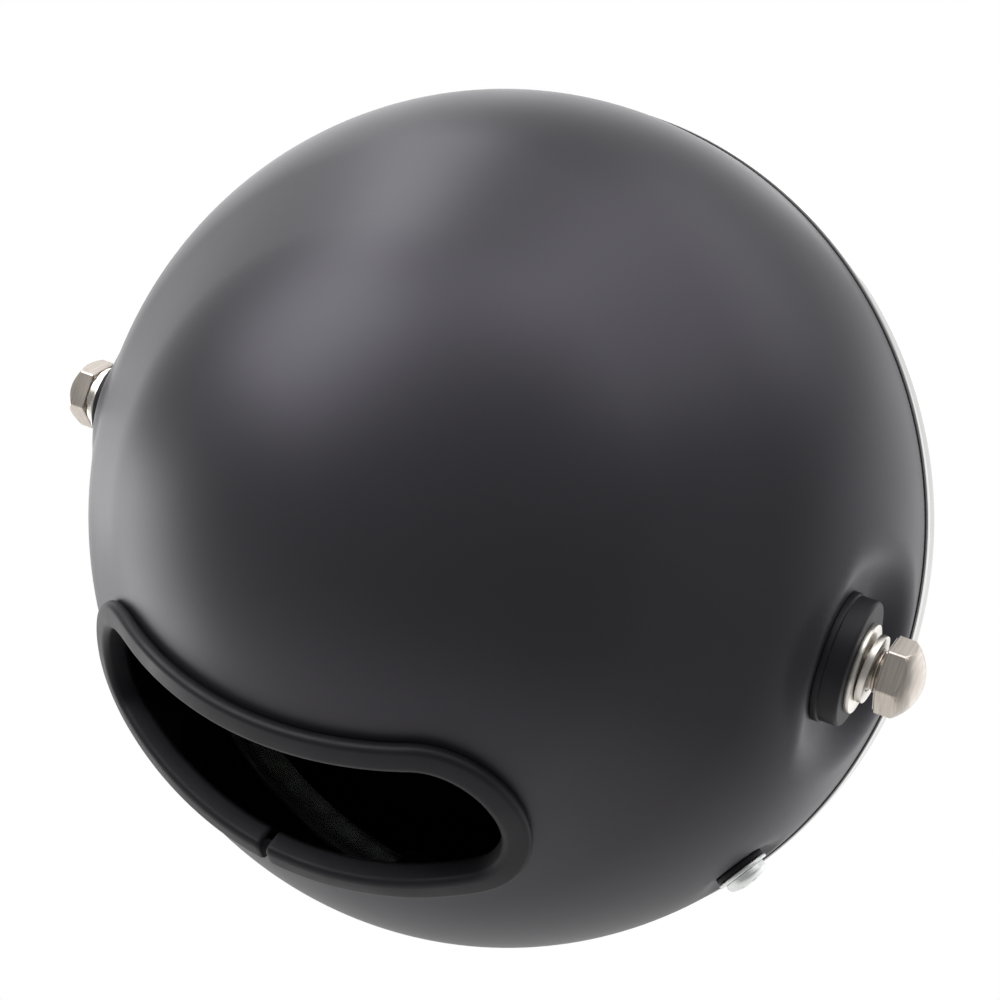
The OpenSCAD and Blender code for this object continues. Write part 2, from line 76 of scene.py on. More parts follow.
# A loose bolt bares this much thread; per millimetre of it the washers are drawn thinner and lean
BARE_THREAD = 1.1
FLAT_THINNER = 0.4
SPLIT_THINNER = 0.5
SPLIT_LEAN = 0.35
HEAD_H = 7.3
HEX_FLATS = 13.0
HEX_CORNER_R = 7.42
HEAD_DOME_R = 9.2
# Foot of the head as (share of the hexagon, height), and the shares at which its dome is drawn
HEAD_FOOT = [(0.93, 0.0), (0.93, 0.25), (0.985, 0.3), (1.0, 0.45)]
DOME_SHARES = [0.985, 0.9, 0.8, 0.65, 0.5, 0.35, 0.2, 0.08]
DOME_EDGE = 0.12
HEAD_TURN = {LEFT: math.radians(-23), RIGHT: math.radians(18.5)}
BOLT_R = 4.0
BOLT_HOLE_CLEAR = 1.0
BOLT_END = 67.6
THREAD_CLEAR = 0.3
THREAD_PITCH = 1.25
THREAD_DEEP = 0.55
THREAD_CREST_IN = 0.1
THREAD_CHAMFER = 0.7

# Rim screws, each on a small flat pressed into the shoulder
SCREW_BACK = 15.2
SCREW_DROP = math.radians(32.8)
SCREW_R = 2.5
SCREW_HOLE_CLEAR = 0.6
SEAT_SINK = 1.4
SEAT_FLAT_R = 5.7
SEAT_BLEND_R = 9.0
SEAT_AT = SHELL_R - SHOULDER_R + math.sqrt(SHOULDER_R ** 2 - (SCREW_BACK - SHELL_STRAIGHT) ** 2) - SEAT_SINK
SCREW_RUBBER_R = 5.25
SCREW_RUBBER_H = 1.3
SCREW_WASHER_R = 5.5
SCREW_WASHER_H = 0.8
PAN_R = 4.4
PAN_H = 2.4
PAN_WALL = 0.42 * PAN_H
CROSS_W = 1.0
CROSS_L = 5.0
CROSS_H = 1.3
RIM_END = SEAT_AT - 9.2

# Wire opening and its trim
OPENING_X = 6.3
LOBE_X = 35.1
LOBE_DROP = 44.3
LOBE_R = 11.7
WAIST_DIP = 5.65
LOW_R = 78.0
TRIM_OUT = 4.1
TRIM_IN = 1.3
TRIM_LIP = 3.4
TRIM_PROUD = 2.9
TRIM_UNDER = 2.4
TRIM_CLEAR = 0.05
JOINT_X = 6.5
JOINT_W = 1.7

# Bezel, measured behind the bucket's front edge
BEZEL_OUT = 0.5
BEZEL_WALL = 0.8
BEZEL_IN = 8.0
BEZEL_FWD = 12.0
BEZEL_R = SHELL_R + BEZEL_OUT
SEAL_H = 1.2
BEZEL_BACK = -SEAL_H
BEZEL_BEND = BEZEL_BACK - 4.8
FLANGE_R = BEZEL_R - 3.1
LIP_BACK = BEZEL_BEND - BEZEL_FWD + BEZEL_WALL
LIP_OUT_R = BEZEL_R - BEZEL_IN
LIP_IN_R = LIP_OUT_R - 2.0

# Lens and reflector, glued into one unit
LENS_WALL = 3.0
LENS_BULGE = 12.0
LENS_FRONT = LIP_BACK + 1.5
LENS_BACK = LENS_FRONT + LENS_WALL
LENS_R = LIP_OUT_R + 1.5
LENS_FACE_R = LIP_IN_R - 0.8
MIRROR_R = LENS_FACE_R - 1.5
MIRROR_WALL = 1.0
FOCAL = 24.0
BULB_HOLE_R = 18.0
COLLAR_H = 4.4

# The photograph's camera, worked out from the bucket's outline, the two bolts and the rim
CAMERA_AT = (-143.52, 341.56, 58.5)
CAMERA_TOWARDS = (0.36592, -0.92022, -0.13894)
CAMERA_ROLL = math.radians(15.97)
CAMERA_LENS = 67.77
CAMERA_SENSOR = 36.0

# Soft lights as (name, place, width and height, watts), set to the photo's highlights
SOFTBOXES = [
    ("high_left_softbox", (793, -130, 1027), (450, 450), 3.1),
    ("left_softbox", (884, 611, 741), (900, 900), 13.3),
    ("top_right_softbox", (-455, 26, 1222), (1200, 1200), 8.6),
    ("top_softbox", (130, 455, 1209), (700, 700), 2.9),
    ("low_left_softbox", (810, -45, -396), (560, 560), 2.7),
    ("back_left_softbox", (728, -1053, 234), (1600, 1400), 8.7),
    ("back_right_softbox", (-936, -884, 20), (1600, 1300), 3.9),
]

# Strength of the room on the bucket's side, 1 being the lens's side, and the pale floor's measures
ROOM_DIM = 0.31
FLOOR_R = 1050.0
FLOOR_DROP = 700.0
FLOOR_GLOW = 0.12

# How finely curves are drawn: points on each arc of the bucket, steps round the lamp, trim stations,
# points on the bezel's roll, on the lens and on the reflector, steps round a rod and a split washer
PROFILE_N = 46
AROUND_N = 256
TRIM_N = 230
TRIM_END_STEP = 0.35
ROLL_N = 40
CAP_N = 40
BOWL_N = 80
ROD_N = 64
SPLIT_N = 90

# Points nearer than this are one; how far the round tools reach, and the opening's tool ahead of the cone
WELD_MM = 0.0005
DRILL_REACH = 10.0
OPENING_AHEAD = 12.0


def linear(hex_colour):
    """A colour written as sRGB hex, turned linear for a shader."""
    channels = [int(hex_colour[i:i + 2], 16) / 255 for i in (1, 3, 5)]
    return [c / 12.92 if c <= 0.04045 else ((c + 0.055) / 1.055) ** 2.4 for c in channels] + [1.0]


def add(tree, kind, values=None, **links):
    """Adds a node, sets its properties and inputs, and links the inputs that are given as sockets."""
    node = tree.nodes.new(kind)
    for key, value in (values or {}).items():
        if hasattr(node, key):
            setattr(node, key, value)
        else:
            node.inputs[key].default_value = value
    for key, socket in links.items():
        tree.links.new(socket, node.inputs[key.replace("_", " ")])
    return node


def new_material(name):
    """An empty node material, with its node tree and its output node."""
    material = bpy.data.materials.new(name)
    material.use_nodes = True
    tree = material.node_tree
    tree.nodes.clear()
    output = add(tree, "ShaderNodeOutputMaterial")
    return material, tree, output


def surface(tree, output, values, **links):
    """The one shader of a material: constants in values, linked sockets in links."""
    shader = add(tree, "ShaderNodeBsdfPrincipled", values, **links)
    tree.links.new(shader.outputs["BSDF"], output.inputs["Surface"])


def grain(tree, size_mm, detail):
    """Noise whose spots are about size_mm across, in the piece's own coordinates."""
    place = add(tree, "ShaderNodeTexCoord")
    return add(tree, "ShaderNodeTexNoise",
               {"Scale": 1 / (size_mm * MM), "Detail": detail},
               Vector=place.outputs["Object"])


def between(tree, factor, low, high):
    """A value that runs from low to high as a noise's factor runs over its middle range."""
    ramp = add(tree, "ShaderNodeMapRange",
               {"From Min": 0.3, "From Max": 0.7, "To Min": low, "To Max": high},
               Value=factor)
    return ramp.outputs["Result"]


def tint(tree, factor, low, high):
    """A colour between two hex colours, by a noise's factor."""
    mix = add(tree, "ShaderNodeMix", {"data_type": "RGBA"})
    mix.inputs[6].default_value = linear(low)
    mix.inputs[7].default_value = linear(high)
    tree.links.new(factor, mix.inputs[0])
    return mix.outputs[2]


def bump(tree, height, depth_mm):
    """A bumped normal, with height as the relief and depth_mm as its full depth."""
    node = add(tree, "ShaderNodeBump", {"Strength": 1.0, "Distance": depth_mm * MM}, Height=height)
    return node.outputs["Normal"]


def satin_black_enamel():
    """Stoved satin enamel on pressed steel: near black, with broad soft highlights and a very fine peel."""
    material, tree, output = new_material("satin_black_enamel")
    peel = grain(tree, 0.9, detail=3)
    cloud = grain(tree, 38, detail=3)
    surface(tree, output, {"IOR": 1.5, "Specular Tint": linear("#f2eeff")},
            Base_Color=tint(tree, cloud.outputs["Fac"], "#212022", "#262528"),
            Roughness=between(tree, cloud.outputs["Fac"], 0.40, 0.45),
            Normal=bump(tree, peel.outputs["Fac"], 0.012))
    return material


def moulded_rubber(name, low, high, rough):
    """Black moulded rubber: a soft dark surface with a faint bloom and fine pores."""
    material, tree, output = new_material(name)
    pores = grain(tree, 0.7, detail=4)
    bloom = grain(tree, 9, detail=3)
    surface(tree, output, {"IOR": 1.52, "Specular IOR Level": 0.27, "Specular Tint": linear("#f8f6ff")},
            Base_Color=tint(tree, bloom.outputs["Fac"], low, high),
            Roughness=between(tree, bloom.outputs["Fac"], rough - 0.05, rough + 0.05),
            Normal=bump(tree, pores.outputs["Fac"], 0.02))
    return material


def plated_metal(name, low, high, rough, spread=0.06):
    """Plated steel: metal colour with small changes of tone and gloss from the plating bath."""
    material, tree, output = new_material(name)
    fine = grain(tree, 0.5, detail=4)
    stain = grain(tree, 4, detail=3)
    surface(tree, output, {"Metallic": 1.0},
            Base_Color=tint(tree, stain.outputs["Fac"], low, high),
            Roughness=between(tree, stain.outputs["Fac"], rough - spread, rough + spread),
            Normal=bump(tree, fine.outputs["Fac"], 0.004))
    return material


def brushed_nickel():
    """Dull nickel on the bolts, with fine tool lines across the bolt's axis that streak its tone."""
    material, tree, output = new_material("brushed_nickel")
    place = add(tree, "ShaderNodeTexCoord")
    drawn = add(tree, "ShaderNodeMapping", {"Scale": (1.0, 0.04, 0.04)}, Vector=place.outputs["Object"])
    lines = add(tree, "ShaderNodeTexNoise", {"Scale": 1 / (0.35 * MM), "Detail": 3.0},
                Vector=drawn.outputs["Vector"])
    stain = grain(tree, 5, detail=2)
    surface(tree, output, {"Metallic": 1.0},
            Base_Color=tint(tree, lines.outputs["Fac"], "#9c938a", "#dbd4cc"),
            Roughness=between(tree, stain.outputs["Fac"], 0.27, 0.35),
            Normal=bump(tree, lines.outputs["Fac"], 0.006))
    return material


def clear_glass(name, colour, rough, ripple_mm, depth_mm):
    """Pressed clear glass with a faint ripple from the mould."""
    material, tree, output = new_material(name)
    ripple = grain(tree, ripple_mm, detail=1)
    surface(tree, output, {"IOR": 1.5, "Transmission Weight": 1.0, "Base Color": linear(colour)},
            Roughness=between(tree, ripple.outputs["Fac"], rough, rough + 0.02),
            Normal=bump(tree, ripple.outputs["Fac"], depth_mm))
    return material


def mirror_with_shade_painted_back():
    """Aluminised bowl: a clean mirror towards the lens, and on its back a near black that is painted shade,
    so that the inside of the bucket looks dark.
    """
    material, tree, output = new_material("aluminised_bowl_shade_painted_back")
    place = add(tree, "ShaderNodeTexCoord")
    facing = add(tree, "ShaderNodeSeparateXYZ", Vector=place.outputs["Normal"])
    # back is 1 on the bowl's back, which gets the near black of painted shade
    back = add(tree, "ShaderNodeMapRange", {"From Min": -0.02, "From Max": 0.02},
               Value=facing.outputs["Y"])
    haze = grain(tree, 6, detail=3)
    rough = add(tree, "ShaderNodeMix")
    tree.links.new(back.outputs["Result"], rough.inputs[0])
    tree.links.new(between(tree, haze.outputs["Fac"], 0.04, 0.06), rough.inputs[2])
    tree.links.new(between(tree, haze.outputs["Fac"], 0.86, 0.94), rough.inputs[3])
    colour = add(tree, "ShaderNodeMix", {"data_type": "RGBA"})
    tree.links.new(back.outputs["Result"], colour.inputs[0])
    tree.links.new(tint(tree, haze.outputs["Fac"], "#e4e5e6", "#ececec"), colour.inputs[6])
    # painted shade: this near black on the back stands in for the shade inside the bucket
    tree.links.new(tint(tree, haze.outputs["Fac"], "#050404", "#090706"), colour.inputs[7])
    plated = add(tree, "ShaderNodeMath", {"operation": "SUBTRACT"})
    plated.inputs[0].default_value = 1.0
    tree.links.new(back.outputs["Result"], plated.inputs[1])
    surface(tree, output, {"Specular IOR Level": 0.02},
            Base_Color=colour.outputs[2], Roughness=rough.outputs[0], Metallic=plated.outputs[0])
    return material


# Each finish, with what it gives the eye; the enamel's soft highlights model the bucket
ENAMEL = satin_black_enamel()
# The trim frames the opening with a dull black edge
TRIM_RUBBER = moulded_rubber("trim_rubber", "#0f0e11", "#151417", 0.52)
# Dull black discs that set off the bright washers
WASHER_RUBBER = moulded_rubber("washer_rubber", "#0e0e10", "#141416", 0.54)
# A thin black line between bucket and bezel, and round the lens
SEAL_RUBBER = moulded_rubber("seal_rubber", "#101011", "#171718", 0.55)
# A slightly greyer, duller black on the hidden boot
BOOT_RUBBER = moulded_rubber("boot_rubber", "#141414", "#1c1c1c", 0.6)
# A clean mirror band that shows the room along the edge
BEZEL_CHROME = plated_metal("bezel_chrome", "#b4b6b3", "#bdbfbc", 0.10, spread=0.02)
# Warm dull heads, streaked by brushing, so that each flat has its own tone
SATIN_NICKEL = brushed_nickel()
# Brighter and smoother than the heads, with soft glints round the edges
WASHER_NICKEL = plated_metal("washer_nickel", "#d0cbc4", "#dcd8d2", 0.32)
# Pale, cool and frosted on the rim screws
BRIGHT_ZINC = plated_metal("bright_zinc", "#dfe2e2", "#ebedec", 0.48)
# Hardware inside the bucket, coloured near black as painted shade, so that it stays unseen in the bucket's
# shade
INSIDE_SHADE_ZINC = plated_metal("inside_shade_zinc", "#2b2b2d", "#363537", 0.5)
# Spring steel inside the bucket, coloured near black with a blue cast as painted shade
INSIDE_SHADE_SPRING_STEEL = plated_metal("inside_shade_spring_steel", "#26272b", "#323338", 0.48)
# Mirror in front, and behind it a near black that is painted shade, so that the opening looks dark
MIRROR_WITH_SHADE_BACK = mirror_with_shade_painted_back()
# Straw coloured plating round the bulb's foot
BULB_BASE_PLATE = plated_metal("plated_bulb_base", "#a9a092", "#b9b1a4", 0.35)
# A grey wire inside the bulb
TUNGSTEN = plated_metal("tungsten_wire", "#6f6f72", "#808084", 0.45)
# Clear with a hint of green, slightly rippled
LENS_GLASS = clear_glass("pressed_lens_glass", "#f4faf9", 0.01, 30.0, 0.008)
# Clear and colourless
BULB_GLASS = clear_glass("bulb_quartz", "#fbfbfb", 0.0, 14.0, 0.02)
# Slightly shinier black on the connector
CONNECTOR_PLASTIC = moulded_rubber("connector_nylon", "#17181a", "#1e1f22", 0.5)

CAD_FINISH = {
    "shell": ENAMEL,
    "wire_opening_trim": TRIM_RUBBER,
    "bezel_seal": SEAL_RUBBER,
    "bezel": BEZEL_CHROME,
    "lens_seal": SEAL_RUBBER,
    "lens": LENS_GLASS,
    "reflector": MIRROR_WITH_SHADE_BACK,
    "unit_clip": INSIDE_SHADE_SPRING_STEEL,
    "bulb_retaining_ring": INSIDE_SHADE_SPRING_STEEL,
    "bulb_glass": BULB_GLASS,
    "bulb_filament": TUNGSTEN,
    "bulb_base": BULB_BASE_PLATE,
    "bulb_boot": BOOT_RUBBER,
    "bulb_connector": CONNECTOR_PLASTIC,
    "bolt": SATIN_NICKEL,
    "split_washer": WASHER_NICKEL,
    "flat_washer": WASHER_NICKEL,
    "rim_rubber_washer": WASHER_RUBBER,
    "rubber_washer": WASHER_RUBBER,
    "weld_nut": INSIDE_SHADE_ZINC,
    "rim_bracket": INSIDE_SHADE_ZINC,
    "rim_nut": INSIDE_SHADE_ZINC,
    "rim_screw_washer": BRIGHT_ZINC,
    "rim_screw": BRIGHT_ZINC,
}


def finish_for(node):
    """The first finish whose word is in the node's name, so longer words stand before shorter ones."""
    for word, material in CAD_FINISH.items():
        if word in node:
            return material
    raise ValueError("no finish for " + node)


for node_name, node_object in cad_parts.items():
    node_object.data.materials.clear()
    node_object.data.materials.append(finish_for(node_name))


def rounded(corners, steps=3):
    """A closed outline from corners given as (x, y, radius), with each corner turned into an arc."""
    points = []
    for i, (x, y, radius) in enumerate(corners):
        here = Vector((x, y))
        before = (Vector(corners[i - 1][:2]) - here).normalized()
        after = (Vector(corners[(i + 1) % len(corners)][:2]) - here).normalized()
        if radius == 0:
            points.append(here)
            continue
        half = before.angle(after) / 2
        centre = here + (before + after).normalized() * radius / math.sin(half)
        start = here + before * radius / math.tan(half) - centre
        end = here + after * radius / math.tan(half) - centre
        turn = math.atan2(start.x * end.y - start.y * end.x, start.dot(end))
        for k in range(steps + 1):
            points.append(centre + Matrix.Rotation(turn * k / steps, 2) @ start)
    return points


def finish_piece(bm, name, node, material, place, sharp_deg):
    """Turns a bmesh drawn in millimetres into a named piece that takes a CAD node's place."""
    bmesh.ops.remove_doubles(bm, verts=bm.verts[:], dist=WELD_MM)
    bmesh.ops.transform(bm, matrix=place, verts=bm.verts[:])
    bmesh.ops.scale(bm, vec=(MM, MM, MM), verts=bm.verts[:])
    bmesh.ops.recalc_face_normals(bm, faces=bm.faces[:])
    mesh = bpy.data.meshes.new(name)
    bm.to_mesh(mesh)
    bm.free()
    piece_from_mesh(mesh, name, node, material, sharp_deg)


def piece_from_mesh(mesh, name, node, material, sharp_deg):
    """Shows a mesh in metres as a smooth piece, with edges kept sharp above an angle."""
    mesh.shade_smooth()
    mesh.set_sharp_from_angle(angle=math.radians(sharp_deg))
    mesh.materials.clear()
    mesh.materials.append(material)
    piece = bpy.data.objects.new(name, mesh)
    bpy.context.collection.objects.link(piece)
    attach(piece, BODY)
    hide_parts(node)


def spun(bm, outline, closed=True, steps=96):
    """Spins an outline of (radius, height) points about the z axis into the given bmesh."""
    verts = [bm.verts.new((p[0], 0, p[1])) for p in outline]
    pairs = list(zip(verts, verts[1:]))
    if closed:
        pairs.append((verts[-1], verts[0]))
    edges = [bm.edges.new(pair) for pair in pairs]
    bmesh.ops.spin(bm, geom=verts + edges, cent=(0, 0, 0), axis=(0, 0, 1), dvec=(0, 0, 0),
                   angle=2 * math.pi, steps=steps, use_merge=True)


def loft(bm, rings):
    """Skins a row of rings, each a list with the same number of points, and closes both ends."""
    old = bmesh.ops.create_circle(bm, segments=len(rings[0]), radius=1.0)["verts"]
    for vert, point in zip(old, rings[0]):
        vert.co = point
    edges = [bm.edges.get((old[i - 1], old[i])) for i in range(len(old))]
    first = edges[:]
    for ring in rings[1:]:
        grown = set(bmesh.ops.extrude_edge_only(bm, edges=edges)["geom"])
        new = []
        for vert in old:
            new.append(next(e.other_vert(vert) for e in vert.link_edges if e.other_vert(vert) in grown))
        for vert, point in zip(new, ring):
            vert.co = point
        edges = [bm.edges.get((new[i - 1], new[i])) for i in range(len(new))]
        old = new
    bmesh.ops.contextual_create(bm, geom=first)
    bmesh.ops.contextual_create(bm, geom=edges)


def applied(mesh, modifiers):
    """The mesh after modifiers, given as (type, settings) pairs, with nothing of them left in the scene."""
    holder = bpy.data.objects.new("holder", mesh)
    bpy.context.collection.objects.link(holder)
    for kind, settings in modifiers:
        modifier = holder.modifiers.new(kind, kind)
        for key, value in settings.items():
            setattr(modifier, key, value)
    bpy.context.view_layer.update()
    made = bpy.data.meshes.new_from_object(holder.evaluated_get(bpy.context.evaluated_depsgraph_get()))
    bpy.data.objects.remove(holder)
    return made


def cutter(bm):
    """A closed tool in millimetres, for cutting with the boolean modifier."""
    bmesh.ops.scale(bm, vec=(MM, MM, MM), verts=bm.verts[:])
    bmesh.ops.recalc_face_normals(bm, faces=bm.faces[:])
    mesh = bpy.data.meshes.new("cutter")
    bm.to_mesh(mesh)
    bm.free()
    tool = bpy.data.objects.new("cutter", mesh)
    bpy.context.collection.objects.link(tool)
    return tool


def cut_away(mesh, tools):
    """The mesh with every tool cut out of it; the tools are removed."""
    cuts = [{"operation": "DIFFERENCE", "solver": "MANIFOLD", "object": tool} for tool in tools]
    made = applied(mesh, [("BOOLEAN", cut) for cut in cuts])
    for tool in tools:
        bpy.data.objects.remove(tool)
    return made


# A piece is drawn in the part's own frame, or about local z, which LAMP turns onto the lamp's axis
AS_DRAWN = Matrix.Identity(4)
LAMP = Matrix.Translation((0, -BOLT_BACK, 0)) @ Matrix.Rotation(math.radians(-90), 4, "X")


def side(s):
    """Local z runs outwards along a side bolt, from the lamp axis."""
    return Matrix.Rotation(s * math.radians(90), 4, "Y")


def rim(s):
    """Local z runs outwards along a rim screw, from the lamp axis."""
    drop = SCREW_DROP if s == LEFT else math.pi - SCREW_DROP
    turn = Matrix.Rotation(drop, 4, "Y")
    place = Matrix.Translation((0, SCREW_BACK - BOLT_BACK, 0))
    return place @ turn @ Matrix.Rotation(math.radians(90), 4, "Y")


SHOULDER_C = SHELL_R - SHOULDER_R
CONE_FRONT = (SHOULDER_C + SHOULDER_R * math.cos(CONE_ANGLE),
              SHELL_STRAIGHT + SHOULDER_R * math.sin(CONE_ANGLE))
NOSE_C = ((SHOULDER_C * math.cos(CONE_ANGLE) + SHELL_STRAIGHT * math.sin(CONE_ANGLE) + SHOULDER_R - NOSE_R)
          / math.sin(CONE_ANGLE))
CONE_BACK = (NOSE_R * math.cos(CONE_ANGLE), NOSE_C + NOSE_R * math.sin(CONE_ANGLE))


def bucket_profile():
    """The bucket's outer profile as (radius, distance behind the front edge), from edge to nose."""
    points = [(SHELL_R, SHELL_STRAIGHT * i / 4) for i in range(4)]
    for i in range(PROFILE_N):
        a = CONE_ANGLE * i / PROFILE_N
        points.append((SHOULDER_C + SHOULDER_R * math.cos(a), SHELL_STRAIGHT + SHOULDER_R * math.sin(a)))
    for i in range(12):
        points.append(tuple(f + (b - f) * i / 12 for f, b in zip(CONE_FRONT, CONE_BACK)))
    for i in range(PROFILE_N + 1):
        a = CONE_ANGLE + (math.pi / 2 - CONE_ANGLE) * i / PROFILE_N
        points.append((NOSE_R * math.cos(a), NOSE_C + NOSE_R * math.sin(a)))
    return points


def on_bucket(x, z):
    """The point of the bucket's outside behind (x, z), and the normal there."""
    r = math.hypot(x, z)
    if r <= CONE_BACK[0]:
        slope = math.acos(r / NOSE_R)
        back = NOSE_C + NOSE_R * math.sin(slope)
    elif r <= CONE_FRONT[0]:
        slope = CONE_ANGLE
        share = (r - CONE_BACK[0]) / (CONE_FRONT[0] - CONE_BACK[0])
        back = CONE_BACK[1] + share * (CONE_FRONT[1] - CONE_BACK[1])
    else:
        slope = math.acos((r - SHOULDER_C) / SHOULDER_R)
        back = SHELL_STRAIGHT + SHOULDER_R * math.sin(slope)
    out = math.cos(slope) / r if r else 0
    return Vector((x, back - BOLT_BACK, z)), Vector((x * out, math.sin(slope), z * out))


def smooth_step(low, high, value):
    """0 below low, 1 above high, and a smooth blend between."""
    t = min(1.0, max(0.0, (value - low) / (high - low)))
    return t * t * (3 - 2 * t)


def press_pads(bm):
    """Presses the two pads for the side bolts and the two small flats for the rim screws."""
    seats = [rim(s).to_3x3() @ Vector((0, 0, 1)) for s in (LEFT, RIGHT)]
    middle = Vector((0, SCREW_BACK - BOLT_BACK, 0))
    for vert in bm.verts:
        co = vert.co
        away = math.hypot(co.y, co.z)
        if away < PAD_BLEND_R and abs(co.x) > SHELL_R / 2:
            deep = abs(co.x) - PAD_X
            edge = (PAD_FLAT_R, PAD_BLEND_R) if deep > 0 else (PAD_BOSS_R, PAD_BOSS_BLEND_R)
            keep = smooth_step(edge[0], edge[1], away)
            co.x = math.copysign(PAD_X + deep * keep, co.x)
        for line in seats:
            high = (co - middle).dot(line)
            away = (co - middle - high * line).length
            if high > 0 and away < SEAT_BLEND_R:
                keep = smooth_step(SEAT_FLAT_R, SEAT_BLEND_R, away)
                vert.co = co + line * (SEAT_AT - high) * (1 - keep)


def opening_arc(centre_z, centre_x, radius, a, b, n):
    """Points of one arc of the opening, from angle a up to but without angle b."""
    turns = [a + (b - a) * i / n for i in range(n)]
    return [(centre_x + radius * math.sin(turn), centre_z - radius * math.cos(turn)) for turn in turns]


def opening_outline():
    """The bean-shaped cut seen along the lamp axis, clockwise as (x, z)."""
    waist = (LOBE_X ** 2 - WAIST_DIP ** 2) / (2 * WAIST_DIP)
    top = math.atan2(LOBE_X, waist)
    low_h = math.sqrt((LOW_R - LOBE_R) ** 2 - LOBE_X ** 2)
    low = math.atan2(LOBE_X, low_h)
    full = math.pi * 2
    points = opening_arc(waist, 0, math.hypot(LOBE_X, waist) - LOBE_R, -top, top, 48)
    points += opening_arc(0, LOBE_X, LOBE_R, full / 2 + top, low, 40)
    points += opening_arc(low_h, 0, LOW_R, low, -low, 64)
    points += opening_arc(0, -LOBE_X, LOBE_R, full - low, full / 2 - top, 40)
    return [Vector((x + OPENING_X, z - LOBE_DROP)) for x, z in points]


def prism(outline, front, back):
    """A closed tool with the outline in x and z, from y = front to y = back."""
    bm = bmesh.new()
    loft(bm, [[(p.x, y, p.y) for p in outline] for y in (front, back)])
    return cutter(bm)


def drill(place, radius, middle):
    """A round tool on a place's local z, reaching DRILL_REACH to both sides of middle."""
    low = middle - DRILL_REACH
    high = middle + DRILL_REACH
    bm = bmesh.new()
    bmesh.ops.create_cone(bm, cap_ends=True, segments=48, radius1=radius, radius2=radius, depth=high - low)
    bmesh.ops.translate(bm, vec=(0, 0, (low + high) / 2), verts=bm.verts[:])
    bmesh.ops.transform(bm, matrix=place, verts=bm.verts[:])
    return cutter(bm)


def smooth_bucket():
    """The pressed bucket as a smooth skin, thickened inwards and cut for wires, bolts and screws."""
    bm = bmesh.new()
    spun(bm, bucket_profile(), closed=False, steps=AROUND_N)
    bmesh.ops.remove_doubles(bm, verts=bm.verts[:], dist=0.001)
    bmesh.ops.transform(bm, matrix=LAMP, verts=bm.verts[:])
    press_pads(bm)
    bmesh.ops.scale(bm, vec=(MM, MM, MM), verts=bm.verts[:])
    bmesh.ops.recalc_face_normals(bm, faces=bm.faces[:])
    apex = max(bm.faces, key=lambda f: f.calc_center_median().y)
    if apex.normal.y < 0:
        bmesh.ops.reverse_faces(bm, faces=bm.faces[:])
    mesh = bpy.data.meshes.new("bucket_skin")
    bm.to_mesh(mesh)
    bm.free()
    inwards = {"thickness": SHELL_WALL * MM, "offset": -1.0, "use_even_offset": True}
    mesh = applied(mesh, [("SOLIDIFY", inwards)])
    tools = [prism(opening_outline(), CONE_FRONT[1] - BOLT_BACK - OPENING_AHEAD, SHELL_R)]
    for s in (LEFT, RIGHT):
        tools.append(drill(side(s), BOLT_R + BOLT_HOLE_CLEAR, PAD_X))
        tools.append(drill(rim(s), SCREW_R + SCREW_HOLE_CLEAR, SEAT_AT))
    mesh = cut_away(mesh, tools)
    piece_from_mesh(mesh, "bucket", "shell", ENAMEL, 40)


# Section of the wire opening's trim as (outwards from the cut, above the sheet, corner radius)
TRIM_SECTION = [
    (TRIM_OUT, TRIM_PROUD, 1.3),
    (-TRIM_IN, TRIM_PROUD, 1.5),
    (-TRIM_IN, -TRIM_UNDER, 1.2),
    (TRIM_LIP, -TRIM_UNDER, 0.5),
    (TRIM_LIP, -SHELL_WALL - TRIM_CLEAR, 0),
    (-TRIM_CLEAR, -SHELL_WALL - TRIM_CLEAR, 0),
    (-TRIM_CLEAR, TRIM_CLEAR, 0),
    (TRIM_OUT, TRIM_CLEAR, 1.1),
]


def trim_path():
    """Evenly spaced points round the cut, from one side of the butt joint to the other."""
    points = opening_outline()
    low = [i for i, p in enumerate(points) if p.y < -LOBE_DROP and p.x > JOINT_X]
    start = max(low, key=lambda i: -points[i].x)
    points = points[start:] + points[:start + 1]
    steps = [(b - a).length for a, b in zip(points, points[1:])]
    total = sum(steps)
    path = []
    stations = [JOINT_W / 2 + (total - JOINT_W) * i / TRIM_N for i in range(TRIM_N + 1)]
    stations.insert(1, stations[0] + TRIM_END_STEP)
    stations.insert(-1, stations[-1] - TRIM_END_STEP)
    for along in stations:
        for i, step in enumerate(steps):
            if along <= step or i == len(steps) - 1:
                break
            along -= step
        path.append(points[i] + (points[i + 1] - points[i]) * min(1.0, along / steps[i]))
    return path


def wire_trim():
    """Rubber edge trim: a rounded bead outside, a lip inside, and a butt joint in its bottom run."""
    section = rounded(TRIM_SECTION, steps=7)
    middle = Vector(((TRIM_OUT - TRIM_IN) / 2, 0.2))
    path = trim_path()
    rings = []
    for i, point in enumerate(path):
        here, normal = on_bucket(point.x, point.y)
        after = path[min(i + 1, len(path) - 1)]
        before = path[max(i - 1, 0)]
        along = on_bucket(after.x, after.y)[0] - on_bucket(before.x, before.y)[0]
        outwards = along.cross(normal).normalized()
        if outwards.z * (after - before).x < 0 and abs((after - before).x) > abs((after - before).y):
            outwards = -outwards
        shrink = 0.93 if i in (0, len(path) - 1) else 1.0
        ring = []
        for flat in section:
            flat = middle + (flat - middle) * shrink
            spot = here + outwards * flat.x
            foot, up = on_bucket(spot.x, spot.z)
            ring.append(foot + up * flat.y)
        rings.append(ring)
    bm = bmesh.new()
    loft(bm, rings)
    finish_piece(bm, "wire_trim", "wire_opening_trim", TRIM_RUBBER, AS_DRAWN, 35)


def head_reach(a):
    """Distance from the hexagon's middle to its edge at angle a, with slightly broken corners."""
    off = (a + math.pi / 6) % (math.pi / 3) - math.pi / 6
    return min(HEX_FLATS / 2 / math.cos(off), HEX_CORNER_R)


def dome_height(r):
    """Height of the head's domed top at radius r."""
    return HEAD_H - HEAD_DOME_R + math.sqrt(HEAD_DOME_R ** 2 - r ** 2)


